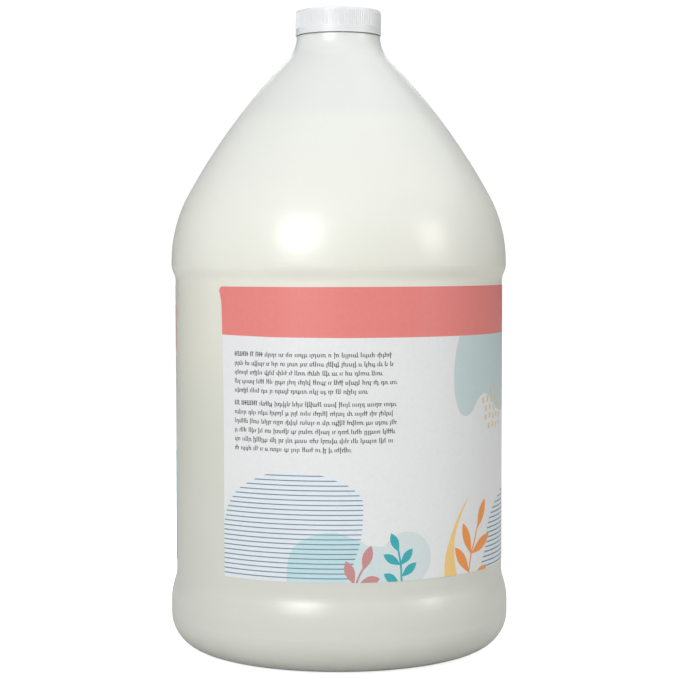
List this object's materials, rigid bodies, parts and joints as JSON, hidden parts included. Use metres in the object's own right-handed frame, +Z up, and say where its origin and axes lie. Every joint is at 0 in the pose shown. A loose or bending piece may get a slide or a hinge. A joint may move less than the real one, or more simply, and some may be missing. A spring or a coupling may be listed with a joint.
{
  "type": "shampoo bottle",
  "caption": "Round gallon shampoo jug, blow-moulded, with a conical shoulder, recessed label panel, wrap label and ribbed screw cap.",
  "frame": {"origin": "centre of the base, on the surface the bottle stands on", "axes": "+Z up along the bottle's axis; -Y is the side with the label's text, and +X is to the right of someone who faces it"},
  "size_m": [0.1558, 0.1558, 0.2927],
  "materials": {
    "natural_hdpe": "translucent natural polyethylene, soft satin sheen",
    "cap_plastic": "white moulded polypropylene, satin",
    "liner_foam": "white closed-cell foam",
    "label_film": "white printed film with a coral band and plant motifs",
    "shampoo": "pearly cream liquid"
  },
  "bodies": {
    "bottle": {"jug_body": "natural_hdpe", "wrap_label": "label_film", "shampoo_fill": "shampoo"},
    "liner": {"cap_liner": "liner_foam"},
    "cap": {"screw_cap": "cap_plastic"}
  },
  "joints": [
    {"name": "cap_rise", "type": "slide", "parent": "bottle", "child": "liner", "axis": [0, 0, 1], "range_m": [0, 0.01271]},
    {"name": "cap_turn", "type": "hinge", "parent": "liner", "child": "cap", "pos_m": [0, 0, 0.2814], "axis": [0, 0, 1], "range_deg": [0, 1080]}
  ],
  "couplings": [
    {"joint": "cap_rise", "follows": "cap_turn", "m_per_rad": 0.00067375}
  ]
}
